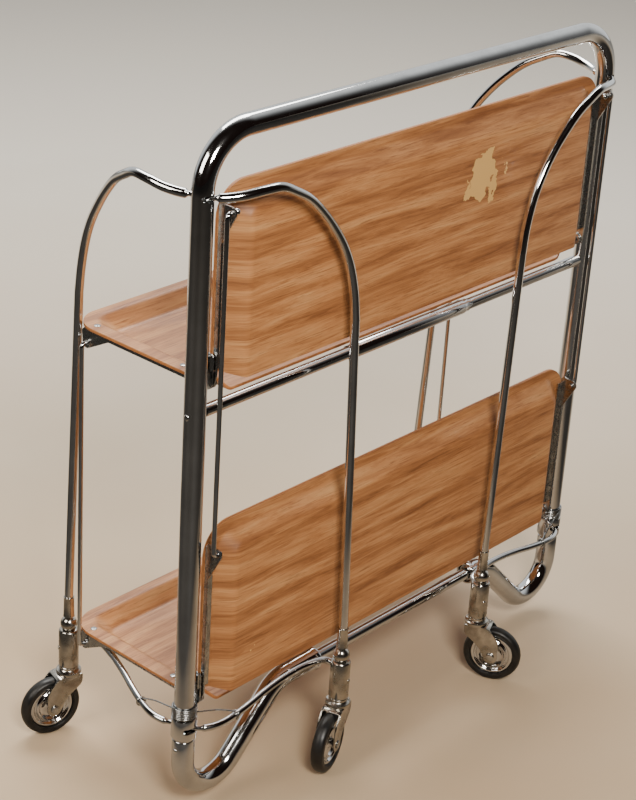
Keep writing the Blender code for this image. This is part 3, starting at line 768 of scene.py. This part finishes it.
def makeLinkRod(side):
    x = -tray["half"] - link["outboard"]
    high = link["z"]
    low = high - (tray["height"]["upper"] - tray["height"]["lower"])
    inner = -tray["half"]
    corners = [(inner + link["upperEnd"], link["y"], high), (x, link["y"], high),
               (x, link["y"], low), (inner + link["lowerEnd"], link["y"], low)]
    bar = sweepBar(roundedRoute(corners, (link["bend"],) * 2, 10), link["radius"], 20)
    ball = bmesh.new()
    bmesh.ops.create_uvsphere(ball, u_segments=24, v_segments=14, radius=link["ball"],
                              matrix=Matrix.Translation(
                                  (inner + link["upperEnd"] + 0.001, link["y"], high)))
    bar = combined(bar, [ball], "UNION")
    return moved(bar, mirrored(side))


traySolid = makeTray()
for depth in depths:
    for level in tray["height"]:
        node = depth + "_" + level + "_tray"
        matrix = trayMatrix(depth, level)
        board = bmesh.new()
        board.from_mesh(traySolid)
        # each tray is cut from another part of the printed sheet
        sheet = board.verts.layers.float_vector["grain"]
        for vertex in board.verts:
            vertex[sheet] += Vector(tray["sheetShift"][depth, level])
        addPiece(node, moved(board, matrix), node, walnutLaminate, sandedPlyEdge)
        addPiece(node + "_screws", moved(makeScrews(), matrix), node, zincPlatedSteel)
    # the rods hang upright, so only the place of their upper pivot follows the fold
    shift = Matrix.Identity(4)
    if depth == "near":
        shift = Matrix.Translation((0, link["z"] - link["y"], link["y"] - link["z"]))
    upper = inPlane @ Matrix.Translation((0, 0, tray["height"]["upper"])) @ shift
    for side in sides:
        addPiece(depth + "_" + side + "_link_rod", moved(makeLinkRod(side), upper),
                 depth + "_links", chromePlate)
bpy.data.meshes.remove(traySolid)
print("trays made")


# ---- gates

gate = {"offset": 0.0048, "open": math.radians(6), "closed": math.radians(79),
        "hoopRadius": 0.00475, "hoopSwell": 0.0095, "armRadius": 0.0037, "armSwell": 0.0138,
        "swellRun": 0.0032, "neckRadius": 0.0024, "neckBend": 0.003, "pin": 0.013,
        "reach": 0.1985, "ferruleTop": 0.168,
        # along the gate, towards closing, above the hinge, in millimetres
        "hoop": [(0, 0, 0), (13, -9, 0), (30, -17, 2), (50, -21, 5), (70, -21, 5),
                 (88, -18, -3), (107, -14, -14), (125, -10, -30), (143, -6, -50),
                 (160, -3, -74), (172, -1, -99), (180, 0, -128), (184, 0, -158)],
        "arm": [(0, 0, 0), (12, -9.5, 0), (30, -14, 1), (52, -11, 2.5), (76, -5, 5),
                (100, 2, 8), (125, 8, 10.5), (150, 12.5, 12), (168, 14, 12),
                (179, 15, 11), (187, 15.3, 9.5), (190.9, 13.2, 8.5)]}
caster = {"housing": 0.0110, "low": 0.0815, "top": 0.1275, "ball": 0.0092, "stem": 0.0048,
          "ring": 0.0140, "wheel": 0.0345, "tyreHalf": 0.0072, "tyreInner": 0.0262,
          "trail": 0.0225, "forkGap": 0.0098, "forkSheet": 0.0018, "axle": 0.0026,
          "rivet": (0.0026, 0.0013), "rivetRise": 0.022, "axleHead": (0.0046, 0.0010),
          "heading": {("far", "left"): 165, ("far", "right"): 15, ("near", "left"): 199,
                      ("near", "right"): -65}}


def gateMatrix(depth, side):
    s, f = sides[side], depths[depth]
    angle = gate["open"] if f > 0 else gate["closed"]
    facing = math.atan2(f * math.cos(angle), -s * math.sin(angle))
    return (inPlane @ Matrix.Translation((s * upright["postX"], f * gate["offset"], 0))
            @ Matrix.Rotation(facing, 4, "Z"))


def gateKnots(name, hand, height):
    return [Vector((r * 0.001, hand * t * 0.001, height + z * 0.001))
            for r, t, z in gate[name]]


def makeGateBar(knots, height, full, swell, tail):
    # a pin standing in the post, bent over into a slim neck, then the full bar
    curve = smoothRoute(knots)
    corner = Vector((0, 0, height))
    foot = corner - Vector((0, 0, gate["pin"]))
    start = 4  # the bend takes up the curve's first points
    neck = roundedRoute([foot, corner, curve[start]], (gate["neckBend"],), 8)[:-1]
    rest = curve[start:]
    slim = gate["neckRadius"]
    radii = [slim] * len(neck)
    for point in rest:
        # swells from the neck to the full bar just outside the post
        grow = (math.hypot(point.x, point.y) - swell) / gate["swellRun"]
        grow = min(max(grow, 0.0), 1.0)
        radii.append(slim + (full - slim) * (3 - 2 * grow) * grow ** 2)
    return sweepBar(neck + rest + tail, radii + [full] * len(tail), 24)


def makeHoop(hand):
    height = upright["hoopHeight"]
    tail = [Vector((gate["reach"], 0, gate["ferruleTop"] + lift)) for lift in
            (0.006, -0.020)]
    return makeGateBar(gateKnots("hoop", hand, height), height, gate["hoopRadius"],
                       gate["hoopSwell"], tail)


def makeArm(hand):
    height = upright["armHeight"]
    towards, out = math.radians(120), caster["housing"] - 0.0002
    tail = [Vector((gate["reach"] + out * math.cos(towards), hand * out * math.sin(towards),
                    height + 0.008))]
    return makeGateBar(gateKnots("arm", hand, height), height, gate["armRadius"],
                       gate["armSwell"], tail)


springLeg = {"eyeTurns": 1.2, "steps": 30, "flexStart": 0.001, "flexEnd": 0.036}


def makeSpringLeg(hand, matrix, centre, lift):
    # leaves the coil in line with the gate and closes in an eye round the lower arm
    knots = gateKnots("arm", hand, upright["armHeight"])
    hold, before, after = knots[3], knots[2], knots[4]
    ahead = (after - before).normalized()
    local = matrix.inverted() @ Vector((*centre, 0))
    start = Vector((local.x, local.y - hand * coil["radius"], coilTop + lift))
    up = Vector((0, 0, 1))
    up = (up - ahead * up.dot(ahead)).normalized()
    across = ahead.cross(up)
    ring = gate["armRadius"] + coil["wire"] + 0.0002
    eye = []
    for i in range(int(springLeg["steps"] * springLeg["eyeTurns"]) + 1):
        angle = math.tau * i / springLeg["steps"]
        eye.append(hold + ahead * (2.1 * coil["wire"] * i / springLeg["steps"])
                   + (up * math.cos(angle) + across * math.sin(angle)) * ring)
    lead = [start, start.lerp(eye[0], 0.25) + up * 0.001,
            start.lerp(eye[0], 0.6) + up * 0.0025, start.lerp(eye[0], 0.9) + up * 0.0012]
    route = smoothRoute([*lead, eye[0]])[:-1] + eye
    # the stretch of the real spring leg that flexes as the gate turns
    flex = [matrix @ Vector((x, start.y, start.z)) for x in
            (start.x + springLeg["flexStart"], springLeg["flexEnd"])]
    return sweepBar(route, coil["wire"], 12), flex


def makeHousing(hand):
    bore, socket = caster["stem"] + clearance, gate["hoopRadius"] + clearance
    radius, low, top, ball = caster["housing"], caster["low"], caster["top"], caster["ball"]
    ferrule = gate["ferruleTop"]
    profile = [(bore, low), (radius - 0.0008, low), (radius - 0.0002, low + 0.0003),
               (radius, low + 0.0010), (radius, top - 0.0022), (radius - 0.0004, top - 0.0012),
               (radius - 0.0012, top - 0.0003), (radius - 0.0024, top)]
    centre = top + ball * 0.75
    for i in range(13):
        angle = math.radians(-44 + 108 * i / 12)
        profile.append((ball * math.cos(angle), centre + ball * math.sin(angle)))
    profile += [(0.0063, centre + ball + 0.0006), (0.0060, centre + ball + 0.0020),
                (0.0056, ferrule - 0.0012), (0.0058, ferrule - 0.0006), (0.0059, ferrule),
                (socket, ferrule), (socket, ferrule - 0.022), (0, ferrule - 0.023),
                (0, top - 0.004), (bore, top - 0.004)]
    shape = lathe(profile, 56)
    away = math.radians(-60) * hand
    out = Vector((math.cos(away), math.sin(away), 0))
    head = domeHead(out * (radius - clearance) + Vector((0, 0, low + caster["rivetRise"])), out,
                    *caster["rivet"])
    return moved(merged(shape, head), Matrix.Translation((gate["reach"], 0, 0)))


def arcPoints(centre, radius, start, end, steps):
    return [(centre[0] + radius * math.cos(start + (end - start) * i / steps),
             centre[1] + radius * math.sin(start + (end - start) * i / steps))
            for i in range(steps + 1)]


def makeFork():
    # pressed steel channel over the wheel, swept back to the axle, under a swivel ring
    outer, top = caster["forkGap"] + caster["forkSheet"], caster["low"] - 0.0095
    axle = (caster["trail"], caster["wheel"])
    outline = [(-0.0120, top - 0.0012), (-0.0108, top), (0.0120, top)]
    outline += arcPoints((0.0120, top - 0.011), 0.011, math.radians(80), math.radians(35), 5)
    outline += [(0.0265, top - 0.0115), (0.0303, top - 0.0190)]
    outline += arcPoints(axle, 0.0085, math.radians(20), math.radians(-160), 16)
    outline += [(0.0094, top - 0.0300), (0.0040, top - 0.0240), (-0.0030, top - 0.0185),
                (-0.0090, top - 0.0140), (-0.0113, top - 0.0100)]
    bm = bmesh.new()
    side = bm.faces.new([bm.verts.new((x, -outer, z)) for x, z in outline])
    grown = bmesh.ops.extrude_face_region(bm, geom=[side])["geom"]
    bmesh.ops.translate(bm, vec=(0, 2 * outer, 0), verts=[
        item for item in grown if isinstance(item, bmesh.types.BMVert)])
    channel = block((-0.03, -caster["forkGap"], 0), (0.06, caster["forkGap"], top - 0.0022),
                    0.0016, 0, 3)
    hole = rod((axle[0], -0.02, axle[1]), (axle[0], 0.02, axle[1]), caster["axle"] + clearance)
    body = combined(bm, [channel, hole], "DIFFERENCE")
    bevelSharp(body, 0.0005)
    low, high, ring = top - 0.001, caster["low"] - 0.0005, caster["ring"]
    cap = lathe([(0, low), (ring - 0.0012, low), (ring - 0.0003, low + 0.0004),
                 (ring, low + 0.0014), (ring, low + 0.0040), (ring - 0.0004, low + 0.0048),
                 (ring - 0.0022, low + 0.0056), (ring - 0.0034, low + 0.0070),
                 (ring - 0.0034, high - 0.0004), (ring - 0.0038, high), (caster["stem"], high),
                 (caster["stem"], caster["top"] - 0.008), (0, caster["top"] - 0.008)], 48)
    return merged(body, cap)


def makeDisc():
    # pressed wheel plate: dished centre, raised ring, groove, and a rolled rim at the tyre
    inner, hub, web, rim = caster["axle"] + clearance, caster["forkGap"] - 0.0005, 0.0014, 0.0052
    half = [(inner, hub), (0.0046, hub), (0.0050, hub - 0.0004), (0.0056, web + 0.0016),
            (0.0066, web + 0.0006)]
    half += [(0.0080, web + 0.0002), (0.0100, web), (0.0120, web + 0.0003),
             (0.0136, web + 0.0010), (0.0150, web + 0.0022), (0.0158, web + 0.0030),
             (0.0167, web + 0.0034), (0.0176, web + 0.0030), (0.0183, web + 0.0020),
             (0.0190, web + 0.0012), (0.0198, web + 0.0010), (0.0206, web + 0.0014),
             (0.0213, rim - 0.0016), (0.0220, rim - 0.0005), (0.0229, rim),
             (0.0240, rim - 0.0001), (0.0250, rim - 0.0005),
             (caster["tyreInner"] - clearance, rim - 0.0009)]
    profile = half + [(radius, -height) for radius, height in reversed(half)]
    return lathe(profile, 72)


def makeTyre():
    # round tread with a shallow bead line on each wall
    inner, half = caster["tyreInner"], caster["tyreHalf"]
    depth = caster["wheel"] - inner
    profile = [(inner, -half + 0.0006), (inner, half - 0.0006), (inner + 0.0004, half - 0.0001),
               (inner + 0.0012, half), (inner + 0.0017, half - 0.0003),
               (inner + 0.0022, half - 0.00005)]
    for i in range(17):
        angle = math.radians(72 - 144 * i / 16)
        profile.append((inner + depth * (0.45 + 0.55 * math.cos(angle)),
                        half * math.sin(angle)))
    profile += [(inner + 0.0022, -half + 0.00005), (inner + 0.0017, -half + 0.0003),
                (inner + 0.0012, -half), (inner + 0.0004, -half + 0.0001)]
    return lathe(profile, 72)


def makeAxle():
    # a pin headed over on both sides
    end = caster["forkGap"] + caster["forkSheet"] + clearance
    pin = rod((0, 0, -end - 0.001), (0, 0, end + 0.001), caster["axle"])
    heads = [domeHead((0, 0, s * (end + 0.0008)), (0, 0, s), *caster["axleHead"])
             for s in (-1, 1)]
    return merged(pin, *heads)


fork, disc, tyre = makeFork(), makeDisc(), makeTyre()
acrossWheel = Matrix.Translation((caster["trail"], 0, caster["wheel"])) @ Matrix.Rotation(
    math.pi / 2, 4, "X")
for depth, f in depths.items():
    for side, s in sides.items():
        name = depth + "_" + side
        onGate, onSwivel, onWheel = name + "_gate", name + "_swivel", name + "_wheel"
        stand, hand = gateMatrix(depth, side), s * f
        lift = 0.0 if f > 0 else -coil["pitch"]
        wire, flex = makeSpringLeg(hand, stand, (s * upright["postX"], frameY), lift)
        heading = math.radians(caster["heading"][depth, side])
        swivel = Matrix.Translation(stand @ Vector((gate["reach"], 0, 0))) @ Matrix.Rotation(
            heading, 4, "Z")
        spin = swivel @ acrossWheel
        for piece, shape, place, body, material in (
                ("hoop", makeHoop(hand), stand, onGate, chromePlate),
                ("lower_arm", makeArm(hand), stand, onGate, chromePlate),
                ("spring_leg", wire, stand, ("frame", onGate, *flex), zincPlatedSteel),
                ("caster_housing", makeHousing(hand), stand, onGate, tarnishedNickel),
                ("fork", fork.copy(), swivel, onSwivel, tarnishedNickel),
                ("axle", makeAxle(), spin, onSwivel, zincPlatedSteel),
                ("wheel_disc", disc.copy(), spin, onWheel, chromePlate),
                ("tyre", tyre.copy(), spin, onWheel, mouldedRubber)):
            addPiece(name + "_" + piece, moved(shape, place), body, material)
for shape in (fork, disc, tyre):
    shape.free()
print("gates and casters made")

# the small steel parts keep their own shape and get the plated finish
for name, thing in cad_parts.items():
    if name.endswith(("_hinge_plug", "_bracket", "_left_arm", "_right_arm")):
        for holder in thing.material_slots:
            holder.material = zincPlatedSteel


# ---- floor and light

stageLook = {"near": "#C2A988", "far": "#EDE6DA", "size": 24, "mottle": 240,
             "wallSide": (0.76, 0.65, 0.0), "room": "#1B1310", "wall": "#F4F6F5",
             "backdrop": "#EFEDE8", "strength": 1.0}
lights = [
    # name, place, aimed at, width, height, watts, warmth
    ("keySoftbox", (-1.15, -1.45, 1.75), (0, 0, 0.38), 0.55, 0.55, 52, "#FFF8EE"),
    ("sideSoftbox", (-2.3, 0.5, 1.9), (0, 0, 0.35), 1.2, 1.2, 40, "#FFF6EA"),
    ("overhead", (0.9, 1.3, 2.8), (0, 0, 0.3), 2.2, 1.2, 95, "#FFFBF4"),
]


def makeFloor():
    bm = bmesh.new()
    bmesh.ops.create_grid(bm, x_segments=8, y_segments=8, size=stageLook["size"] / 2)
    mesh = meshOf(bm, "floor")
    material, tree, shader = newMaterial("paleFloor", 0.0, 0.75, stageLook["near"])
    place = addNode(tree, "TexCoord").outputs["Object"]
    away = addNode(tree, "VectorMath", {0: place, 1: stageLook["wallSide"]},
                   operation="DOT_PRODUCT")
    fade = addNode(tree, "MapRange", {
        "Value": away.outputs["Value"], "From Min": 0.0, "From Max": 2.2})
    mottle = addNode(tree, "TexNoise", {
        "Vector": place, "Scale": perMetre(stageLook["mottle"]), "Detail": 4.0})
    blend = addNode(tree, "Math", {
        0: mottle.outputs["Fac"], 1: 0.16, 2: fade.outputs["Result"]},
        operation="MULTIPLY_ADD")
    colour = addNode(tree, "ValToRGB", {"Fac": blend.outputs["Value"]}, [
        (0.05, stageLook["near"]), (0.9, stageLook["far"])])
    # painted reflection: in the mirror of the plated tubes the floor is painted darker away from
    # the wall, like a dim room
    distance = addNode(tree, "VectorMath", {0: place}, operation="LENGTH")
    close = addNode(tree, "MapRange", {
        "Value": distance.outputs["Value"], "From Min": 0.22, "From Max": 0.62,
        "To Min": 0.75, "To Max": 0.02})
    beyond = addNode(tree, "MapRange", {
        "Value": away.outputs["Value"], "From Min": 0.25, "From Max": 0.9})
    seen = addNode(tree, "Math", {
        0: close.outputs["Result"], 1: beyond.outputs["Result"]}, operation="MAXIMUM")
    mirror = addNode(tree, "LightPath").outputs["Is Glossy Ray"]
    # painted reflection: mirror rays see the floor colour scaled down by this factor
    paintedReflectionDim = addNode(tree, "Mix", {
        0: mirror, 2: 1.0, 3: seen.outputs["Value"]}, data_type="FLOAT")
    shown = addNode(tree, "VectorMath", {
        0: colour.outputs["Color"], "Scale": paintedReflectionDim.outputs[0]}, operation="SCALE")
    feed(tree, shader, {"Base Color": shown.outputs["Vector"]})
    mesh.materials.append(material)
    newObject("floor", mesh)


def makeLights():
    for name, place, target, width, height, watts, warmth in lights:
        data = bpy.data.lights.new(name, "AREA")
        data.shape = "RECTANGLE"
        data.size, data.size_y = width, height
        data.energy = watts
        data.color = linearColour(warmth)[:3]
        lamp = newObject(name, data)
        aim = (Vector(target) - Vector(place)).to_track_quat("-Z", "Y")
        lamp.matrix_world = Matrix.Translation(place) @ aim.to_matrix().to_4x4()
    # a pale wall on one side and a dim room on the other give the plated tubes their
    # dark lines; seen directly the surroundings are a plain pale backdrop
    world = bpy.data.worlds.new("room")
    bpy.context.scene.world = world
    world.use_nodes = True
    tree = world.node_tree
    place = addNode(tree, "TexCoord").outputs["Generated"]
    side = addNode(tree, "VectorMath", {0: place, 1: stageLook["wallSide"]},
                   operation="DOT_PRODUCT")
    wall = addNode(tree, "MapRange", {
        "Value": side.outputs["Value"], "From Min": 0.10, "From Max": 0.70},
        interpolation_type="SMOOTHSTEP")
    room = addNode(tree, "Mix", {
        0: wall.outputs["Result"], 6: linearColour(stageLook["room"]),
        7: linearColour(stageLook["wall"])}, data_type="RGBA")
    direct = addNode(tree, "LightPath").outputs["Is Camera Ray"]
    sky = addNode(tree, "Mix", {
        0: direct, 6: room.outputs[2], 7: linearColour(stageLook["backdrop"])},
        data_type="RGBA")
    feed(tree, tree.nodes["Background"], {"Color": sky.outputs[2],
                                          "Strength": stageLook["strength"]})


makeFloor()
makeLights()
print("floor and lights made")
